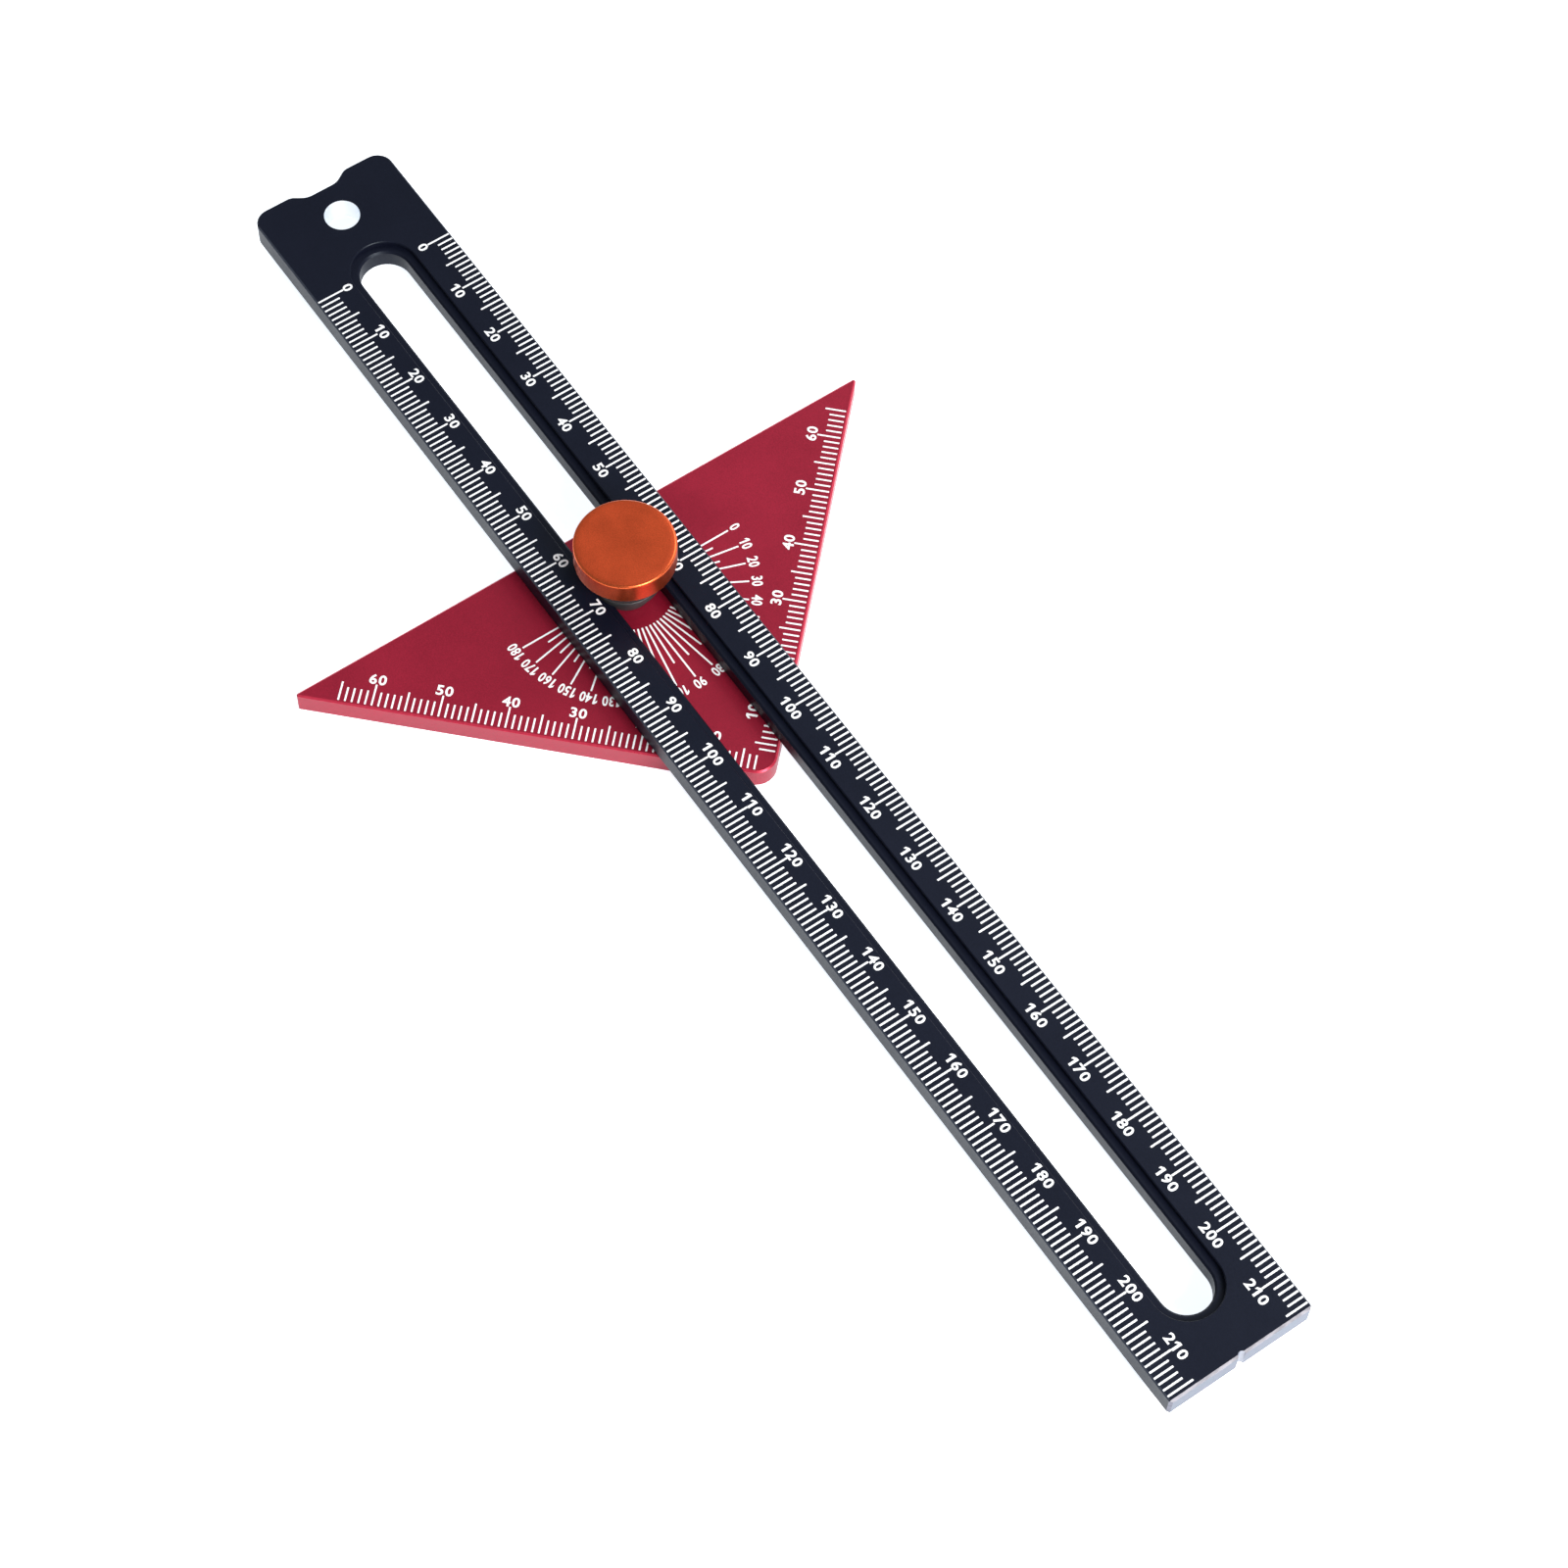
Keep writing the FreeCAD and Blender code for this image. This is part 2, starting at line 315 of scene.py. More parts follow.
def threaded_rod(sizes, low, high):
    """A rod with a V thread, cut flat at both ends."""
    pitch = sizes.thread_pitch
    start = low - 1.5 * pitch
    rod = traced("thread", (
        (sizes.thread_root, start, 0),
        (sizes.thread_root, start + pitch * 0.18, 0),
        (sizes.thread_radius, start + pitch * 0.53, 0),
        (sizes.thread_radius, start + pitch * 0.65, 0),
        (sizes.thread_root, start + pitch, 0),
    ))
    edit(rod, "VERT")
    bpy.ops.mesh.select_all(action="SELECT")
    bpy.ops.transform.translate(value=(-PIVOT_X, 0, 0))
    bpy.ops.object.mode_set(mode="OBJECT")
    screw = rod.modifiers.new("thread", "SCREW")
    screw.angle = math.tau
    screw.steps = THREAD_STEPS
    screw.render_steps = THREAD_STEPS
    screw.screw_offset = pitch
    screw.iterations = math.ceil((high - start) / pitch) + 2
    screw.use_merge_vertices = True
    screw.merge_threshold = HAIR
    apply_modifiers(rod)
    edit(rod, "VERT")
    bpy.ops.mesh.select_all(action="SELECT")
    bpy.ops.transform.translate(value=(PIVOT_X, 0, 0))
    bpy.ops.mesh.remove_doubles(threshold=HAIR)
    bpy.ops.mesh.bisect(
        plane_co=(0, 0, low), plane_no=(0, 0, 1), use_fill=True, clear_inner=True,
        threshold=HAIR / 10)
    bpy.ops.mesh.select_all(action="SELECT")
    bpy.ops.mesh.bisect(
        plane_co=(0, 0, high), plane_no=(0, 0, 1), use_fill=True, clear_outer=True,
        threshold=HAIR / 10)
    close_up(rod)
    return rod


def combine(piece, tool, operation):
    """Joins or cuts a piece with a tool, which is then thrown away."""
    boolean = piece.modifiers.new("combine", "BOOLEAN")
    boolean.operation = operation
    boolean.solver = "EXACT"
    boolean.object = tool
    apply_modifiers(piece)
    close_up(piece)
    discard([tool])


# --- Marks ---

MARK_PROUD = 0.012 * MM
MARK_SUNK = 0.008 * MM
MARK_THICK = MARK_PROUD + MARK_SUNK
DIGIT_SIZE = 1.30 * MM
DIGIT_BOLD = 0.032 * MM


def line_mark(name, long, wide):
    """One printed line from the origin along +Y, with softened corners."""
    clear_selection()
    middle = (0, long / 2, (MARK_PROUD - MARK_SUNK) / 2)
    bpy.ops.mesh.primitive_cube_add(size=1, location=middle, scale=(wide, long, MARK_THICK))
    piece = bpy.context.object
    piece.name = name
    apply_place([piece])
    pick(piece, "EDGE", lambda ends: abs(ends[0].z - ends[1].z) > MARK_THICK / 2)
    bpy.ops.mesh.bevel(offset=wide * 0.22, segments=2, profile=0.5, affect="EDGES")
    pick(piece, "EDGE", lambda ends: min(ends[0].z, ends[1].z) > MARK_PROUD * 0.9)
    bpy.ops.mesh.bevel(offset=MARK_PROUD * 0.5, segments=1, affect="EDGES")
    bpy.ops.object.mode_set(mode="OBJECT")
    return piece


def fan_of(piece, count, angle):
    """Repeats a mark about the pivot's axis, clockwise seen from above."""
    edit(piece, "VERT")
    bpy.ops.mesh.select_all(action="SELECT")
    bpy.ops.mesh.spin(
        steps=count - 1, dupli=True, angle=angle * (count - 1), center=PIVOT, axis=(0, 0, 1))
    bpy.ops.object.mode_set(mode="OBJECT")


def ray(turn):
    """The way that Y points once it has been turned."""
    return Vector((-math.sin(turn), math.cos(turn)))


def leg_ways(side):
    """The ways along a leg, away from the corner, and inwards from its edge."""
    return Vector((-1, side)) * SLOPE, Vector((-1, -side)) * SLOPE


def place(piece, at, turn, height):
    piece.location = (at[0], at[1], height)
    piece.rotation_euler = (0, 0, turn)


def copied(master):
    piece = master.copy()
    piece.data = master.data.copy()
    bpy.context.scene.collection.objects.link(piece)
    return piece


def discard(pieces):
    for piece in pieces:
        mesh = piece.data
        bpy.data.objects.remove(piece)
        bpy.data.meshes.remove(mesh)


def scale_rows(name, first, last, wide, lengths, origin, along, turn, height):
    """1, 5 and 10 mm graduations from one origin, with lines pointing where turn says."""
    fine, five, ten = [line_mark(name + "_master", long, wide) for long in lengths]
    marks = []
    for reading in range(first, last + 1):
        mark = copied(ten if reading % 10 == 0 else five if reading % 5 == 0 else fine)
        place(mark, origin + along * reading * MM, turn, height)
        marks.append(mark)
    discard([fine, five, ten])
    return marks


def one_digit():
    """A 1 with its flag and no foot, 1 mm tall."""
    clear_selection()
    stroke = 0.215 * MM
    middle = 0.06 * MM
    flag_root = 0.26 * MM
    flag = Vector((-0.24 * MM, -0.2 * MM, 0))
    bpy.ops.mesh.primitive_plane_add(size=1, location=(middle, 0, 0))
    piece = bpy.context.object
    piece.scale = (stroke, MM, 1)
    apply_place([piece])
    edit(piece, "VERT")
    bpy.ops.mesh.select_all(action="SELECT")
    bpy.ops.mesh.bisect(plane_co=(0, flag_root, 0), plane_no=(0, 1, 0))
    left = middle - stroke / 2
    pick(piece, "EDGE", lambda ends: max(abs(e.x - left) for e in ends) < 0.01 * MM
         and min(e.y for e in ends) > flag_root / 2)
    bpy.ops.mesh.extrude_edges_move(TRANSFORM_OT_translate={"value": flag})
    edit(piece, "FACE")
    bpy.ops.mesh.select_all(action="SELECT")
    bpy.ops.mesh.extrude_region_move(TRANSFORM_OT_translate={"value": (0, 0, MARK_THICK)})
    bpy.ops.mesh.select_all(action="SELECT")
    bpy.ops.transform.translate(value=(0, 0, -MARK_SUNK))
    close_up(piece)
    return piece


def round_digit(figure):
    """A digit of the built-in lettering, made bold and 1 mm tall."""
    clear_selection()
    bpy.ops.object.text_add(location=(0, 0, 0))
    text = bpy.context.object
    text.data.body = figure
    text.data.size = DIGIT_SIZE
    text.data.offset = DIGIT_BOLD
    text.data.resolution_u = 3
    text.data.extrude = MARK_THICK / 2
    bpy.ops.object.convert(target="MESH")
    piece = bpy.context.object
    xs = [v.co.x for v in piece.data.vertices]
    ys = [v.co.y for v in piece.data.vertices]
    tall = max(ys) - min(ys)
    centre = Vector(((max(xs) + min(xs)) / 2, (max(ys) + min(ys)) / 2, 0))
    edit(piece, "VERT")
    bpy.ops.mesh.select_all(action="SELECT")
    bpy.ops.transform.translate(value=-centre)
    bpy.ops.transform.resize(value=(MM / tall, MM / tall, 1), center_override=(0, 0, 0))
    bpy.ops.transform.translate(value=(0, 0, (MARK_PROUD - MARK_SUNK) / 2))
    close_up(piece)
    return piece


def digit_set():
    """The ten digits, each 1 mm tall and centred on the origin."""
    digits = {figure: round_digit(figure) for figure in "023456789"}
    digits["1"] = one_digit()
    wide = digits["0"].dimensions.x
    return digits, wide


def written(digits, zero_width, number, tall, wide, pitch, at, turn, height):
    """One number, centred on its place, its tops towards turn + 90 degrees."""
    figures = str(number)
    across = Vector((math.cos(turn), math.sin(turn)))
    marks = []
    for i, figure in enumerate(figures):
        mark = copied(digits[figure])
        mark.scale = (wide / zero_width, tall / MM, 1)
        offset = (i - (len(figures) - 1) / 2) * pitch
        place(mark, Vector(at) + across * offset, turn, height)
        marks.append(mark)
    return marks


# --- Node helpers ---


def shader(name):
    """A material whose only nodes are its Principled BSDF and output."""
    material = bpy.data.materials.new(name)
    material.use_nodes = True
    return material, material.node_tree, material.node_tree.nodes["Principled BSDF"]


def add(tree, kind, inputs=None, **settings):
    """A node with its settings, and its inputs linked or set."""
    node = tree.nodes.new(kind)
    for key, value in settings.items():
        setattr(node, key, value)
    for key, value in (inputs or {}).items():
        if isinstance(value, bpy.types.NodeSocket):
            tree.links.new(value, node.inputs[key])
        else:
            node.inputs[key].default_value = value
    return node


def maths(tree, operation, a, b=0.0):
    return add(tree, "ShaderNodeMath", {0: a, 1: b}, operation=operation).outputs[0]


def ramp(tree, value, low, high, to_low=0.0, to_high=1.0):
    """A value carried smoothly from one range to another."""
    node = add(tree, "ShaderNodeMapRange", {
        "Value": value, "From Min": low, "From Max": high, "To Min": to_low, "To Max": to_high})
    node.interpolation_type = "SMOOTHSTEP"
    return node.outputs[0]


def blend(tree, mask, a, b):
    node = tree.nodes.new("ShaderNodeMix")
    node.data_type = "RGBA"
    for socket, value in ((node.inputs[0], mask), (node.inputs[6], a), (node.inputs[7], b)):
        if isinstance(value, bpy.types.NodeSocket):
            tree.links.new(value, socket)
        else:
            socket.default_value = value
    return node.outputs[2]


def rgba(values):
    return (values[0], values[1], values[2], 1.0)


def noise(tree, vector, scale, detail=3.0, roughness=0.55):
    return add(tree, "ShaderNodeTexNoise", {
        "Vector": vector, "Scale": scale, "Detail": detail, "Roughness": roughness}).outputs[0]


def object_place(tree):
    """Object coordinates, and their x, y and z."""
    vector = add(tree, "ShaderNodeTexCoord").outputs["Object"]
    split = add(tree, "ShaderNodeSeparateXYZ", {0: vector})
    return vector, split.outputs[0], split.outputs[1], split.outputs[2]


def from_point(tree, x, y, centre_x):
    """Distance along X, and in all, from a point on the rule's centre line."""
    dx = maths(tree, "SUBTRACT", x, centre_x)
    squares = maths(tree, "ADD", maths(tree, "MULTIPLY", dx, dx), maths(tree, "MULTIPLY", y, y))
    return dx, maths(tree, "SQRT", squares)


def group(name, inputs, outputs):
    tree = bpy.data.node_groups.new(name, "ShaderNodeTree")
    for label, kind in inputs:
        tree.interface.new_socket(name=label, in_out="INPUT", socket_type=kind)
    for label, kind in outputs:
        tree.interface.new_socket(name=label, in_out="OUTPUT", socket_type=kind)
    return tree, tree.nodes.new("NodeGroupInput"), tree.nodes.new("NodeGroupOutput")


def blasted_skin():
    """Colour, roughness and height of a fine blasted, dyed skin, paler along its edges: partly rubbed
    there, partly a highlight painted on them.
    """
    if "Blasted Skin" in bpy.data.node_groups:
        return bpy.data.node_groups["Blasted Skin"]
    tree, given, result = group(
        "Blasted Skin",
        (("Colour", "NodeSocketColor"), ("Worn and Highlit Colour", "NodeSocketColor"),
         ("Edge", "NodeSocketFloat"), ("Grain Scale", "NodeSocketFloat"),
         ("Cloud Scale", "NodeSocketFloat"), ("Roughness", "NodeSocketFloat")),
        (("Colour", "NodeSocketColor"), ("Roughness", "NodeSocketFloat"),
         ("Height", "NodeSocketFloat")))
    vector = add(tree, "ShaderNodeTexCoord").outputs["Object"]
    grain = noise(tree, vector, given.outputs["Grain Scale"], 2.0, 0.7)
    cloud = noise(tree, vector, given.outputs["Cloud Scale"], 4.0, 0.6)
    break_scale = maths(tree, "MULTIPLY", given.outputs["Cloud Scale"], 22.0)
    breaks = ramp(tree, noise(tree, vector, break_scale, 3.0, 0.6), 0.3, 0.7, 0.72, 1.0)
    worn_and_highlit = maths(tree, "MULTIPLY", given.outputs["Edge"], breaks)
    tone = maths(tree, "MULTIPLY", ramp(tree, grain, 0.25, 0.75, 0.84, 1.16),
                 ramp(tree, cloud, 0.25, 0.75, 0.93, 1.07))
    dyed = add(tree, "ShaderNodeVectorMath", {
        0: given.outputs["Colour"], 3: tone}, operation="SCALE").outputs[0]
    # Paler edges: partly wear, partly a painted highlight along the chamfers and rims.
    mixed = blend(tree, worn_and_highlit, dyed, given.outputs["Worn and Highlit Colour"])
    rough = maths(tree, "ADD", given.outputs["Roughness"],
                  maths(tree, "ADD", ramp(tree, grain, 0.3, 0.7, -0.04, 0.04),
                        ramp(tree, cloud, 0.3, 0.7, -0.03, 0.03)))
    rubbed = maths(tree, "SUBTRACT", rough, maths(tree, "MULTIPLY", worn_and_highlit, 0.08))
    tree.links.new(mixed, result.inputs["Colour"])
    tree.links.new(rubbed, result.inputs["Roughness"])
    tree.links.new(grain, result.inputs["Height"])
    return tree


def lay_skin(tree, bsdf, dyed, worn_and_highlit, edge, grain_scale, cloud_scale, rough, bump, blasted=1.0):
    """Places the blasted skin in a material, its relief only where blasted says.

    Gives the skin's colour and roughness sockets.
    """
    skin = tree.nodes.new("ShaderNodeGroup")
    skin.node_tree = blasted_skin()
    skin.inputs["Colour"].default_value = rgba(dyed)
    skin.inputs["Worn and Highlit Colour"].default_value = rgba(worn_and_highlit)
    skin.inputs["Grain Scale"].default_value = grain_scale
    skin.inputs["Cloud Scale"].default_value = cloud_scale
    skin.inputs["Roughness"].default_value = rough
    tree.links.new(edge, skin.inputs["Edge"])
    grain = maths(tree, "MULTIPLY", skin.outputs["Height"], blasted)
    relief = add(tree, "ShaderNodeBump", {
        "Strength": bump, "Distance": 0.02 * MM, "Height": grain})
    tree.links.new(relief.outputs[0], bsdf.inputs["Normal"])
    return skin.outputs["Colour"], skin.outputs["Roughness"]


def machined_streaks():
    """The group that draws fine cutter lines, as close along each axis as its Stretch says."""
    if "Cutter Lines" in bpy.data.node_groups:
        return bpy.data.node_groups["Cutter Lines"]
    tree, given, result = group(
        "Cutter Lines", (("Stretch", "NodeSocketVector"),),
        (("Lines", "NodeSocketFloat"),))
    vector = add(tree, "ShaderNodeTexCoord").outputs["Object"]
    drawn = add(tree, "ShaderNodeVectorMath", {
        0: vector, 1: given.outputs["Stretch"]}, operation="MULTIPLY").outputs[0]
    lines = noise(tree, drawn, 1.0, 3.0, 0.6)
    tree.links.new(lines, result.inputs["Lines"])
    return tree


def cutter_lines(tree, stretch):
    """Places the cutter lines in a material."""
    node = tree.nodes.new("ShaderNodeGroup")
    node.node_tree = machined_streaks()
    node.inputs["Stretch"].default_value = stretch
    return node.outputs["Lines"]


def rule_black():
    """Black dyed aluminium, bare at the far end and in the hanging hole."""
    sizes = bpy.context.scene.rule_sizes
    material, tree, bsdf = shader("rule_black")
    _, x, y, z = object_place(tree)
    side = maths(tree, "ABSOLUTE", y)
    edge_sum = BLADE_HIGH.y + BLADE_HIGH.z - sizes.edge_chamfer
    edge = ramp(tree, maths(tree, "ADD", side, z), edge_sum - 0.09 * MM, edge_sum - 0.01 * MM)
    # Edge chamfers take the paler black: rubbing, and a highlight painted along them.
    dyed, rough = lay_skin(
        tree, bsdf, sizes.black, sizes.worn_black, edge, grain_scale=5200.0, cloud_scale=60.0,
        rough=0.42, bump=0.35)

    def near(centre_x, radius):
        """1 within the radius of a point on the centre line."""
        _, reach = from_point(tree, x, y, centre_x)
        return ramp(tree, reach, radius + 0.03 * MM, radius + 0.02 * MM)

    end_sum = BLADE_HIGH.x + BLADE_HIGH.z - sizes.end_chamfer
    on_chamfer = ramp(tree, maths(tree, "ADD", x, z), end_sum - 0.03 * MM, end_sum - 0.01 * MM)
    on_end = ramp(tree, x, BLADE_HIGH.x - 0.02 * MM, BLADE_HIGH.x - 0.01 * MM)
    corner_sum = BLADE_HIGH.x + BLADE_HIGH.y - sizes.corner_chamfer
    on_corner = ramp(tree, maths(tree, "ADD", x, side), corner_sum - 0.03 * MM, corner_sum)
    cut_end = maths(tree, "MAXIMUM", maths(tree, "MAXIMUM", on_chamfer, on_end), on_corner)
    notch = near(BLADE_HIGH.x, sizes.notch_radius)
    cut_end = maths(tree, "MAXIMUM", cut_end, notch)
    hole = near(BLADE_LOW.x + sizes.hole_from_end, sizes.hole_radius)
    bare = maths(tree, "MAXIMUM", cut_end, hole)
    lines = cutter_lines(tree, (400.0, 420.0, 1500.0))
    metal = blend(tree, ramp(tree, lines, 0.35, 0.65), rgba([c * 0.66 for c in sizes.bare]),
                  rgba([c * 1.2 for c in sizes.bare]))
    metal = blend(tree, maths(tree, "MAXIMUM", on_chamfer, notch), metal, rgba(sizes.fresh_cut))
    metal = blend(tree, hole, metal, rgba(sizes.bright))
    tree.links.new(blend(tree, bare, dyed, metal), bsdf.inputs["Base Color"])
    metal_rough = ramp(tree, lines, 0.3, 0.7, 0.30, 0.42)
    mixed = add(tree, "ShaderNodeMix", {0: bare, 2: rough, 3: metal_rough}).outputs[0]
    tree.links.new(mixed, bsdf.inputs["Roughness"])
    tree.links.new(bare, bsdf.inputs["Metallic"])
    bsdf.inputs["Specular IOR Level"].default_value = 0.17
    bsdf.inputs["Specular Tint"].default_value = (0.82, 0.92, 1.0, 1.0)
    return material


def plate_red():
    """Red dyed aluminium, paler along its edge chamfers: partly rubbed, partly a painted highlight.
    """
    sizes = bpy.context.scene.plate_sizes
    material, tree, bsdf = shader("plate_red")
    _, x, y, z = object_place(tree)
    side = maths(tree, "ABSOLUTE", y)
    from_corner = maths(tree, "SUBTRACT", sizes.corner_x, x)
    leg = maths(tree, "MULTIPLY", maths(tree, "SUBTRACT", from_corner, side), SLOPE)
    base = maths(tree, "SUBTRACT", x, PLATE_LOW.x)
    tip_x = sizes.corner_x - sizes.tip_radius * math.sqrt(2)
    dx, reach = from_point(tree, x, y, tip_x)
    tip = maths(tree, "SUBTRACT", sizes.tip_radius, reach)
    in_tip = maths(tree, "GREATER_THAN", dx, side)
    leg_or_tip = add(tree, "ShaderNodeMix", {0: in_tip, 2: leg, 3: tip}).outputs[0]
    inside = maths(tree, "MINIMUM", leg_or_tip, base)
    below = maths(tree, "SUBTRACT", PLATE_HIGH.z, z)
    depth = maths(tree, "ADD", inside, below)
    edge = ramp(tree, depth, sizes.chamfer + 0.10 * MM, sizes.chamfer + 0.01 * MM)
    # The edge chamfers take the pale red: rubbing, and a highlight painted along them.
    dyed, rough = lay_skin(
        tree, bsdf, sizes.red, sizes.pale_red, edge, grain_scale=5200.0, cloud_scale=70.0,
        rough=0.40, bump=0.35)
    tree.links.new(dyed, bsdf.inputs["Base Color"])
    tree.links.new(rough, bsdf.inputs["Roughness"])
    bsdf.inputs["Metallic"].default_value = 0.42
    bsdf.inputs["Specular IOR Level"].default_value = 0.42
    return material


def knob_orange():
    """Orange dyed aluminium, blasted on top and turned smooth at the side and rims."""
    sizes = bpy.context.scene.clamp_sizes
    material, tree, bsdf = shader("knob_orange")
    _, x, y, z = object_place(tree)
    _, reach = from_point(tree, x, y, PIVOT_X)
    head_radius = KNOB_HIGH.x - PIVOT_X
    rim_sum = head_radius + KNOB_HIGH.z
    edge = ramp(tree, maths(tree, "ADD", reach, z),
                rim_sum - sizes.top_rounding * 1.25, rim_sum - sizes.top_rounding * 0.75)
    on_top = ramp(tree, z, KNOB_HIGH.z - 0.10 * MM, KNOB_HIGH.z - 0.01 * MM, 0.008, 1.0)
    above_side = ramp(tree, z, KNOB_HIGH.z - sizes.top_rounding, KNOB_HIGH.z - 0.12 * MM)
    # The rounded rims take the pale orange: a painted rim highlight as well as rubbing.
    dyed, rough = lay_skin(
        tree, bsdf, sizes.orange, sizes.pale_orange, edge, grain_scale=6500.0, cloud_scale=140.0,
        rough=0.36, bump=0.4, blasted=on_top)
    mixed = add(tree, "ShaderNodeMix", {0: above_side, 2: sizes.turned_rough, 3: rough}).outputs[0]
    tree.links.new(dyed, bsdf.inputs["Base Color"])
    tree.links.new(mixed, bsdf.inputs["Roughness"])
    bsdf.inputs["Metallic"].default_value = 0.92
    bsdf.inputs["Specular IOR Level"].default_value = 0.3
    return material


def speckled(name, scale, dark, light, low, high, relief):
    """A plain material whose colour, roughness and relief follow one fine speckle."""
    material, tree, bsdf = shader(name)
    vector, _, _, _ = object_place(tree)
    speckle = noise(tree, vector, scale, 2.0, 0.6)
    tint = blend(tree, ramp(tree, speckle, 0.3, 0.7), rgba(dark), rgba(light))
    tree.links.new(tint, bsdf.inputs["Base Color"])
    tree.links.new(ramp(tree, speckle, 0.3, 0.7, low, high), bsdf.inputs["Roughness"])
    bump = add(tree, "ShaderNodeBump", {"Strength": 0.3, "Distance": relief, "Height": speckle})
    tree.links.new(bump.outputs[0], bsdf.inputs["Normal"])
    return material, bsdf


def marking_white():
    """White filled markings with the slight speckle of a printed line."""
    material, bsdf = speckled(
        "marking_white", scale=9000.0, dark=(0.74, 0.74, 0.75), light=(0.90, 0.90, 0.90),
        low=0.5, high=0.62, relief=0.01 * MM)
    bsdf.inputs["Specular IOR Level"].default_value = 0.3
    return material


def turned_steel(name, tint, dark, stretch, low, high):
    """Steel with lathe lines."""
    material, tree, bsdf = shader(name)
    lines = cutter_lines(tree, stretch)
    mask = ramp(tree, lines, 0.3, 0.7)
    tree.links.new(blend(tree, mask, rgba(dark), rgba(tint)), bsdf.inputs["Base Color"])
    tree.links.new(ramp(tree, lines, 0.3, 0.7, low, high), bsdf.inputs["Roughness"])
    relief = add(tree, "ShaderNodeBump", {"Strength": 0.25, "Distance": 0.01 * MM, "Height": lines})
    tree.links.new(relief.outputs[0], bsdf.inputs["Normal"])
    bsdf.inputs["Metallic"].default_value = 1.0
    return material


def bush_plastic():
    """Black moulded plastic with a faint even texture; the black also serves as painted shade where
    the flange shows under the knob.
    """
    material, _ = speckled(
        "bush_plastic", scale=4200.0, dark=(0.018, 0.018, 0.019), light=(0.03, 0.03, 0.031),
        low=0.42, high=0.52, relief=0.02 * MM)
    return material


def finish_with(piece, material):
    """Gives a piece one material in its only slot."""
    piece.data.materials.clear()
    piece.data.materials.append(material)


def finish_node(name, material):
    """Assigns a material to each slot of a CAD node."""
    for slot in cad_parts[name].material_slots:
        slot.material = material


def shared(name, make):
    """A material made once and then used again."""
    return bpy.data.materials.get(name) or make()


def soft_light(name, at, size, power):
    """A square soft light aimed at the middle of the object."""
    clear_selection()
    bpy.ops.object.light_add(type="AREA", location=at)
    light = bpy.context.object
    light.name = name
    light.data.shape = "SQUARE"
    light.data.size = size
    light.data.energy = power
    light.rotation_euler = (TARGET - at).to_track_quat("-Z", "Y").to_euler()


# --- Operators ---


class SETSQUARE_OT_rule_body(bpy.types.Operator):
    """Finish the rule in black dyed aluminium with a bare far end"""

    bl_idname = "setsquare.rule_body"
    bl_label = "Rule Body"

    def execute(self, context):
        finish_node("blade", rule_black())
        return {"FINISHED"}


class SETSQUARE_OT_rule_graduations(bpy.types.Operator):
    """Print the millimetre lines along both edges of the rule"""

    bl_idname = "setsquare.rule_graduations"
    bl_label = "Rule Graduations"

    def execute(self, context):
        sizes = context.scene.rule_sizes
        zero_x = BLADE_LOW.x + sizes.zero_from_end
        along = Vector((1, 0))
        rows = (
            (BLADE_HIGH.y - sizes.line_start, math.pi,
             (sizes.fine_back, sizes.five_back, sizes.ten_back)),
            (BLADE_LOW.y + sizes.line_start, 0.0,
             (sizes.fine_front, sizes.five_front, sizes.ten_front)),
        )
        marks = []
        for start_y, turn, lengths in rows:
            marks += scale_rows(
                "rule_line", 0, sizes.last_reading, sizes.line_width, lengths,
                Vector((zero_x, start_y)), along, turn, BLADE_HIGH.z)
        piece = joined(marks, "rule_graduations")
        finish_with(piece, shared("marking_white", marking_white))
        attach(piece, "blade")
        return {"FINISHED"}


class SETSQUARE_OT_rule_numerals(bpy.types.Operator):
    """Print the numerals of both rows of the rule"""

    bl_idname = "setsquare.rule_numerals"
    bl_label = "Rule Numerals"

    def execute(self, context):
        sizes = context.scene.rule_sizes
        digits, zero_width = digit_set()
        zero_x = BLADE_LOW.x + sizes.zero_from_end
        marks = []
        for row_y in (sizes.back_row, -sizes.front_row):
            for reading in range(0, sizes.last_reading, 10):
                marks += written(
                    digits, zero_width, reading, sizes.numeral_height, sizes.numeral_width,
                    sizes.numeral_pitch, (zero_x + reading * MM, row_y), 0.0, BLADE_HIGH.z)
        discard(digits.values())
        piece = joined(marks, "rule_numerals")
        finish_with(piece, shared("marking_white", marking_white))
        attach(piece, "blade")
        return {"FINISHED"}


class SETSQUARE_OT_plate_body(bpy.types.Operator):
    """Finish the 45 degree plate in red dyed aluminium"""

    bl_idname = "setsquare.plate_body"
    bl_label = "Plate Body"

    def execute(self, context):
        finish_node("angle_plate", plate_red())
        return {"FINISHED"}


class SETSQUARE_OT_plate_graduations(bpy.types.Operator):
    """Print the millimetre lines along both legs of the plate"""

    bl_idname = "setsquare.plate_graduations"
    bl_label = "Plate Graduations"

    def execute(self, context):
        sizes = context.scene.plate_sizes
        lengths = (sizes.fine_line, sizes.five_line, sizes.ten_line)
        marks = []
        for side, turn, first in LEGS:
            along, inward = leg_ways(side)
            origin = Vector((sizes.corner_x, 0)) + inward * sizes.line_start
            marks += scale_rows(
                "leg_line", first, LEG_END, sizes.line_width, lengths, origin, along, turn,
                PLATE_HIGH.z)
        piece = joined(marks, "plate_graduations")
        finish_with(piece, shared("marking_white", marking_white))
        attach(piece, "plate")
        return {"FINISHED"}


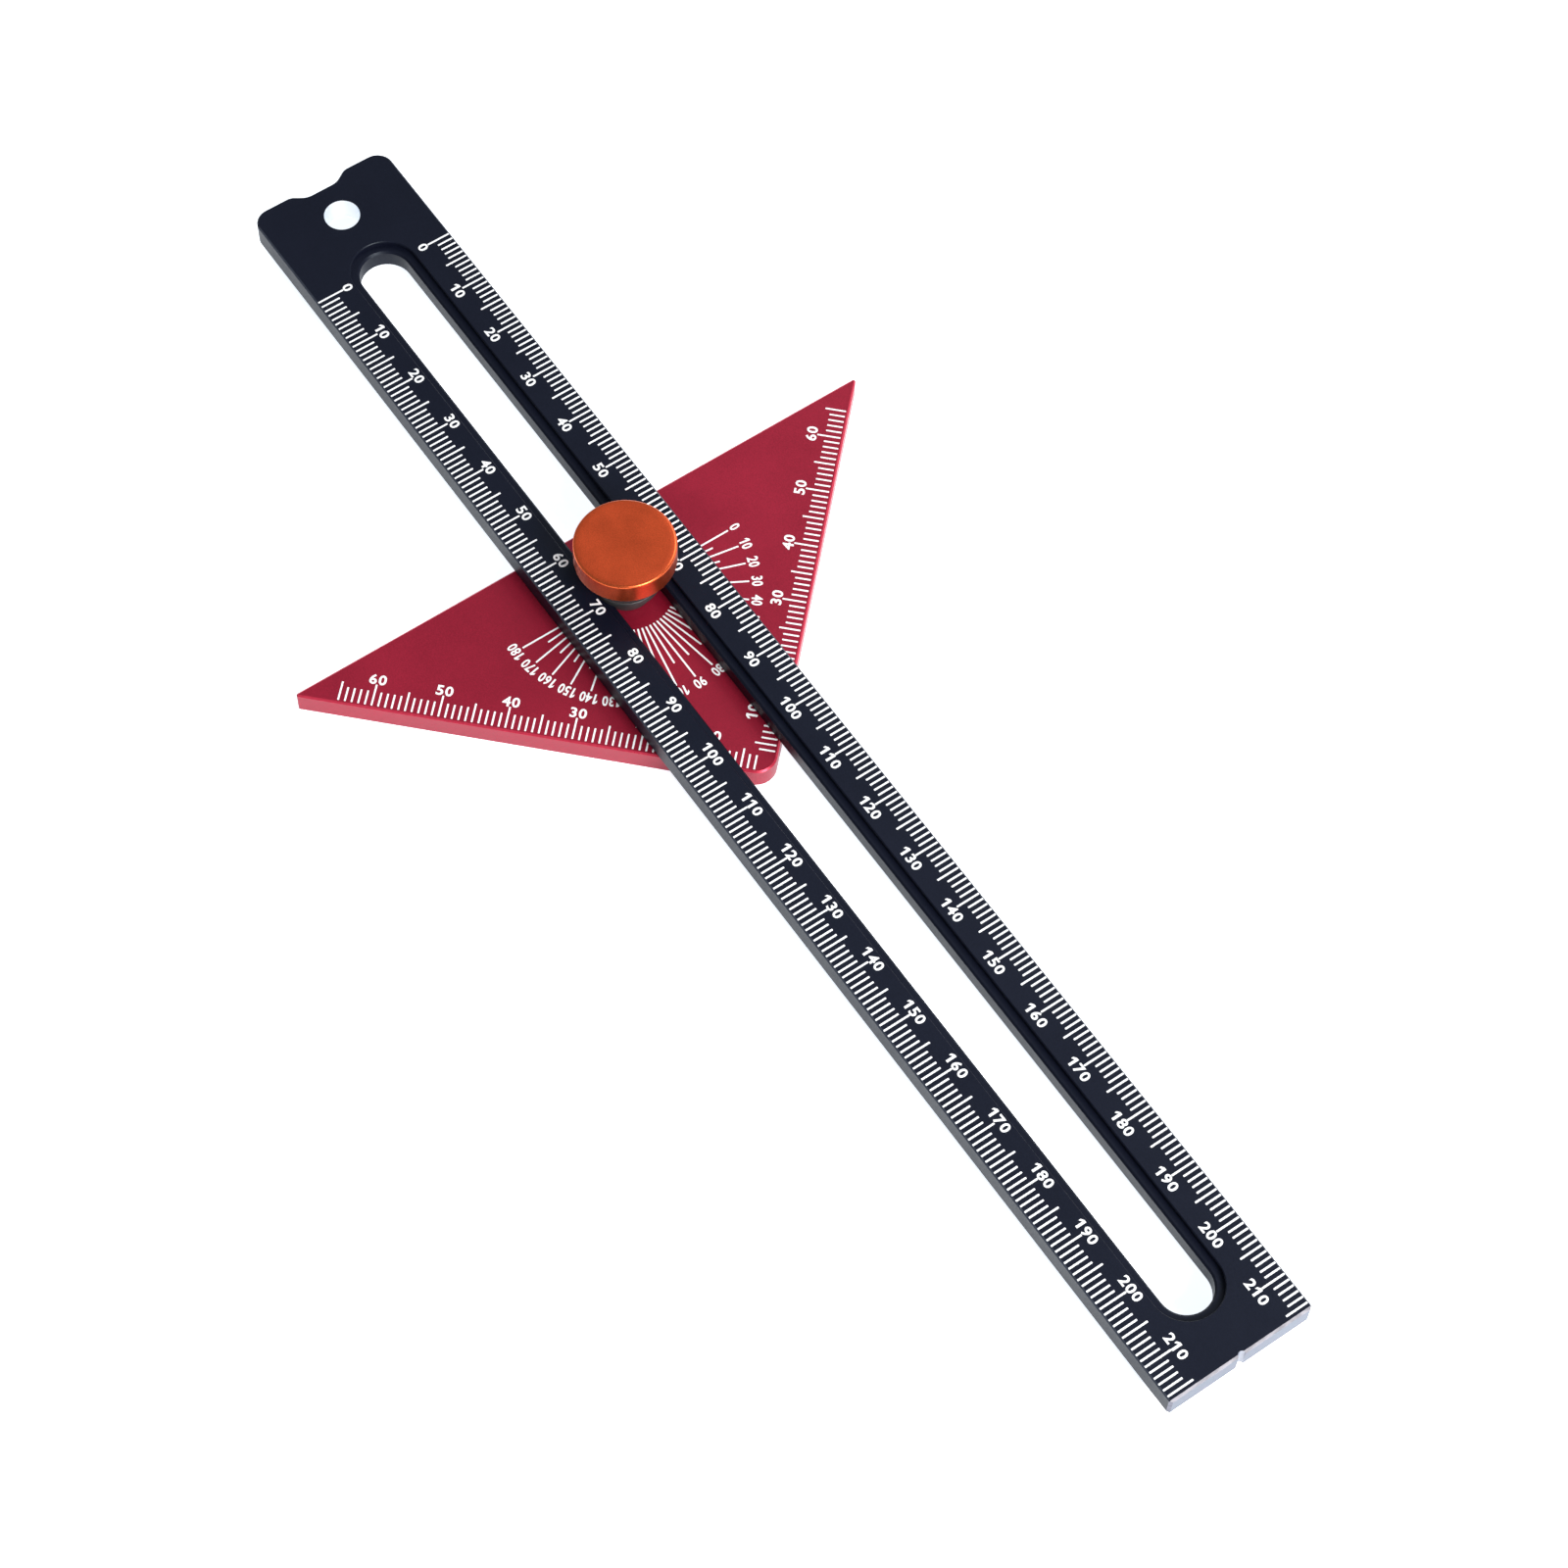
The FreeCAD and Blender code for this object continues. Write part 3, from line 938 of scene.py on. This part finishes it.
class SETSQUARE_OT_plate_numerals(bpy.types.Operator):
    """Print the numerals of both legs and of the protractor"""

    bl_idname = "setsquare.plate_numerals"
    bl_label = "Plate Numerals"

    def execute(self, context):
        sizes = context.scene.plate_sizes
        digits, zero_width = digit_set()
        marks = []
        for side, turn, _ in LEGS:
            along, inward = leg_ways(side)
            for reading in range(10, LEG_END, 10):
                at = (Vector((sizes.corner_x, 0)) + inward * sizes.numeral_depth
                      + along * reading * MM)
                marks += written(
                    digits, zero_width, reading, sizes.numeral_height, sizes.numeral_width,
                    sizes.numeral_pitch, at, turn, PLATE_HIGH.z)
        legs = joined(marks, "plate_numerals")
        marks = []
        for reading in range(0, 181, 10):
            turn = -math.radians(reading)
            at = PIVOT.xy + ray(turn) * sizes.fan_numerals
            marks += written(
                digits, zero_width, reading, sizes.numeral_height, sizes.fan_width,
                sizes.fan_pitch, at, turn, PLATE_HIGH.z)
        fan = joined(marks, "protractor_numerals")
        discard(digits.values())
        for piece in (legs, fan):
            finish_with(piece, shared("marking_white", marking_white))
            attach(piece, "plate")
        return {"FINISHED"}


class SETSQUARE_OT_protractor_lines(bpy.types.Operator):
    """Print the 5 and 10 degree lines about the pivot"""

    bl_idname = "setsquare.protractor_lines"
    bl_label = "Protractor Lines"

    def execute(self, context):
        sizes = context.scene.plate_sizes
        fans = []
        # First angle in degrees, number of lines, and the radius at which they end.
        for first, count, end in ((0, 19, sizes.fan_ten), (5, 18, sizes.fan_five)):
            line = line_mark("protractor_line", end - sizes.fan_start, sizes.line_width)
            turn = -math.radians(first)
            place(line, PIVOT.xy + ray(turn) * sizes.fan_start, turn, PLATE_HIGH.z)
            apply_place([line])
            fan_of(line, count, TEN_DEGREES)
            fans.append(line)
        piece = joined(fans, "protractor_lines")
        finish_with(piece, shared("marking_white", marking_white))
        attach(piece, "plate")
        return {"FINISHED"}


class SETSQUARE_OT_knob(bpy.types.Operator):
    """Turn the thumb knob with its rounded rims, hub and threaded hole"""

    bl_idname = "setsquare.knob"
    bl_label = "Thumb Knob"

    def execute(self, context):
        sizes = context.scene.clamp_sizes
        radius = KNOB_HIGH.x - PIVOT_X
        top = KNOB_HIGH.z
        low = KNOB_LOW.z
        head = top - sizes.head_thick
        mouth = 0.25 * MM
        piece = turned("thumb_knob", (
            (0.0, top, 0),
            (radius - 1.2 * MM, top, 0),
            (radius, top, sizes.top_rounding),
            (radius, head, sizes.lower_rounding),
            (sizes.hub_radius, head, 0.25 * MM),
            (sizes.hub_radius, low, 0.15 * MM),
            (sizes.knob_bore + mouth, low, 0),
            (sizes.knob_bore, low + mouth, 0),
            (sizes.knob_bore, low + sizes.knob_depth, 0),
            (0.0, low + sizes.knob_depth, 0),
        ))
        smooth(piece)
        finish_with(piece, knob_orange())
        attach(piece, "knob")
        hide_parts("clamp_knob")
        return {"FINISHED"}


class SETSQUARE_OT_clamp_screw(bpy.types.Operator):
    """Make the countersunk screw with its socket and thread"""

    bl_idname = "setsquare.clamp_screw"
    bl_label = "Clamp Screw"

    def execute(self, context):
        sizes = context.scene.clamp_sizes
        head_radius = SCREW_HIGH.x - PIVOT_X
        neck = 2.0 * MM
        face = SCREW_LOW.z
        rim = face + 0.15 * MM
        neck_z = rim + head_radius - neck
        neck_top = PLATE_HIGH.z + 0.3 * MM
        piece = turned("socket_screw", (
            (0.0, face, 0),
            (head_radius, face, 0.06 * MM),
            (head_radius, rim, 0),
            (neck, neck_z, 0),
            (neck, neck_top, 0.1 * MM),
            (0.0, neck_top, 0),
        ))
        sunk_in_neck = 0.5 * MM
        thread = threaded_rod(sizes, neck_top - sunk_in_neck, SCREW_HIGH.z)
        combine(piece, thread, "UNION")
        clear_selection()
        bpy.ops.mesh.primitive_cylinder_add(
            vertices=6, radius=sizes.socket / math.sqrt(3), depth=2 * sizes.socket_depth,
            location=(PIVOT_X, 0, face))
        socket = bpy.context.object
        apply_place([socket])
        pick(socket, "FACE", lambda f: f.normal.z > 0.9)
        bpy.ops.mesh.inset(thickness=0.2 * MM)
        bpy.ops.transform.translate(value=(0, 0, 0.12 * MM))
        bpy.ops.object.mode_set(mode="OBJECT")
        combine(piece, socket, "DIFFERENCE")
        smooth(piece, 30)
        finish_with(piece, turned_steel(
            "screw_steel", tint=(0.62, 0.62, 0.63), dark=(0.46, 0.46, 0.47),
            stretch=(900.0, 900.0, 7000.0), low=0.26, high=0.36))
        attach(piece, "plate")
        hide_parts("clamp_screw")
        return {"FINISHED"}


class SETSQUARE_OT_bush_and_washer(bpy.types.Operator):
    """Turn the guide bush and the thrust washer that the knob bears on"""

    bl_idname = "setsquare.bush_and_washer"
    bl_label = "Guide Bush and Thrust Washer"

    def execute(self, context):
        sizes = context.scene.clamp_sizes
        flange = BUSH_HIGH.x - PIVOT_X
        top = BUSH_HIGH.z
        mouth = 0.15 * MM
        bush = turned("slot_bush", (
            (sizes.bush_bore, BUSH_LOW.z, 0),
            (sizes.barrel_radius, BUSH_LOW.z, 0.2 * MM),
            (sizes.barrel_radius, top - sizes.flange_thick, 0),
            (flange, top - sizes.flange_thick, 0.12 * MM),
            (flange, top, 0.2 * MM),
            (sizes.bush_bore + mouth, top, 0),
            (sizes.bush_bore, top - mouth, 0),
        ), closed=True)
        smooth(bush)
        finish_with(bush, bush_plastic())
        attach(bush, "bush")
        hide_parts("guide_bush")

        radius = WASHER_HIGH.x - PIVOT_X
        mouth = 0.08 * MM
        washer = turned("knob_washer", (
            (sizes.washer_bore, WASHER_LOW.z + mouth, 0),
            (sizes.washer_bore + mouth, WASHER_LOW.z, 0),
            (radius, WASHER_LOW.z, 0.1 * MM),
            (radius, WASHER_HIGH.z, 0.1 * MM),
            (sizes.washer_bore + mouth, WASHER_HIGH.z, 0),
            (sizes.washer_bore, WASHER_HIGH.z - mouth, 0),
        ), closed=True)
        smooth(washer)
        finish_with(washer, turned_steel(
            "washer_steel", tint=(0.66, 0.66, 0.67), dark=(0.52, 0.52, 0.53),
            stretch=(3000.0, 3000.0, 3000.0), low=0.22, high=0.34))
        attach(washer, "washer")
        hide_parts("thrust_washer")
        return {"FINISHED"}


class SETSQUARE_OT_stage(bpy.types.Operator):
    """Lay the pale floor, which glows as painted light, set the soft lights and place the camera"""

    bl_idname = "setsquare.stage"
    bl_label = "Stage"

    def execute(self, context):
        sizes = context.scene.stage_sizes
        scene = context.scene
        floor_drop = 0.05 * MM
        floor_edge = 4 * MM
        clear_selection()
        bpy.ops.mesh.primitive_plane_add(size=sizes.floor_size, location=(0, 0, -floor_drop))
        floor = bpy.context.object
        floor.name = "floor"
        apply_place([floor])
        pick(floor, "FACE", lambda f: True)
        bpy.ops.mesh.extrude_region_move(
            TRANSFORM_OT_translate={"value": (0, 0, -sizes.floor_thick)})
        close_up(floor)
        pick(floor, "EDGE", lambda ends: min(e.z for e in ends) > -MM)
        bpy.ops.mesh.bevel(offset=floor_edge, segments=4, profile=0.5, affect="EDGES")
        bpy.ops.object.mode_set(mode="OBJECT")
        material, tree, bsdf = shader("pale_floor")
        vector, _, _, _ = object_place(tree)
        fibre = noise(tree, vector, 600.0, 4.0, 0.6)
        dull = rgba([c * 0.985 for c in sizes.floor_colour])
        paper = blend(tree, ramp(tree, fibre, 0.3, 0.7), dull, rgba(sizes.floor_colour))
        tree.links.new(paper, bsdf.inputs["Base Color"])
        bsdf.inputs["Roughness"].default_value = 0.9
        bsdf.inputs["Specular IOR Level"].default_value = 0.1
        # The floor glows though it is no lamp: painted light, bluish in tint, that washes out shadows
        # on it and lights the pieces from below.
        bsdf.inputs["Emission Color"].default_value = (0.87, 0.93, 1.0, 1.0)
        bsdf.inputs["Emission Strength"].default_value = sizes.floor_glow
        finish_with(floor, material)

        world = bpy.data.worlds.new("soft_room")
        world.use_nodes = True
        background = world.node_tree.nodes["Background"]
        background.inputs["Color"].default_value = (0.88, 0.95, 1.0, 1.0)
        background.inputs["Strength"].default_value = 0.40
        scene.world = world

        soft_light("back", Vector((-0.2, 1.5, 1.3)), size=1.2, power=23.0)
        soft_light("end", Vector((0.72, 0.05, 0.56)), size=0.36, power=12.5)
        scene.view_settings.view_transform = "Standard"

        clear_selection()
        bpy.ops.object.camera_add(location=CAMERA_AT)
        camera = bpy.context.object
        camera.name = "camera"
        aim = (TARGET - CAMERA_AT).to_track_quat("-Z", "Y")
        camera.rotation_euler = (aim @ Quaternion((0, 0, 1), sizes.roll)).to_euler()
        camera.data.lens = sizes.lens
        camera.data.sensor_width = 36.0
        camera.data.clip_start = 0.01
        scene.camera = camera
        return {"FINISHED"}


OPERATORS = (
    SETSQUARE_OT_stage,
    SETSQUARE_OT_rule_body,
    SETSQUARE_OT_rule_graduations,
    SETSQUARE_OT_rule_numerals,
    SETSQUARE_OT_plate_body,
    SETSQUARE_OT_plate_graduations,
    SETSQUARE_OT_plate_numerals,
    SETSQUARE_OT_protractor_lines,
    SETSQUARE_OT_knob,
    SETSQUARE_OT_clamp_screw,
    SETSQUARE_OT_bush_and_washer,
)


class SETSQUARE_PT_panel(bpy.types.Panel):
    """Lists the pieces of the set square"""

    bl_idname = "SETSQUARE_PT_panel"
    bl_label = "Set Square"
    bl_space_type = "VIEW_3D"
    bl_region_type = "UI"
    bl_category = "Set Square"

    def draw(self, context):
        for operator in OPERATORS:
            self.layout.operator(operator.bl_idname)
        for settings in ("rule_sizes", "plate_sizes", "clamp_sizes", "stage_sizes"):
            box = self.layout.box()
            held = getattr(context.scene, settings)
            for name in held.__annotations__:
                box.prop(held, name)


SETTINGS = {
    "rule_sizes": RuleSizes,
    "plate_sizes": PlateSizes,
    "clamp_sizes": ClampSizes,
    "stage_sizes": StageSizes,
}
CLASSES = tuple(SETTINGS.values()) + OPERATORS + (SETSQUARE_PT_panel,)


def register():
    for item in CLASSES:
        bpy.utils.register_class(item)
    for name, settings in SETTINGS.items():
        setattr(bpy.types.Scene, name, bpy.props.PointerProperty(type=settings))


def unregister():
    for name in SETTINGS:
        delattr(bpy.types.Scene, name)
    for item in reversed(CLASSES):
        bpy.utils.unregister_class(item)


def main():
    register()
    for operator in OPERATORS:
        family, name = operator.bl_idname.split(".")
        getattr(getattr(bpy.ops, family), name)()


if __name__ == "__main__":
    main()
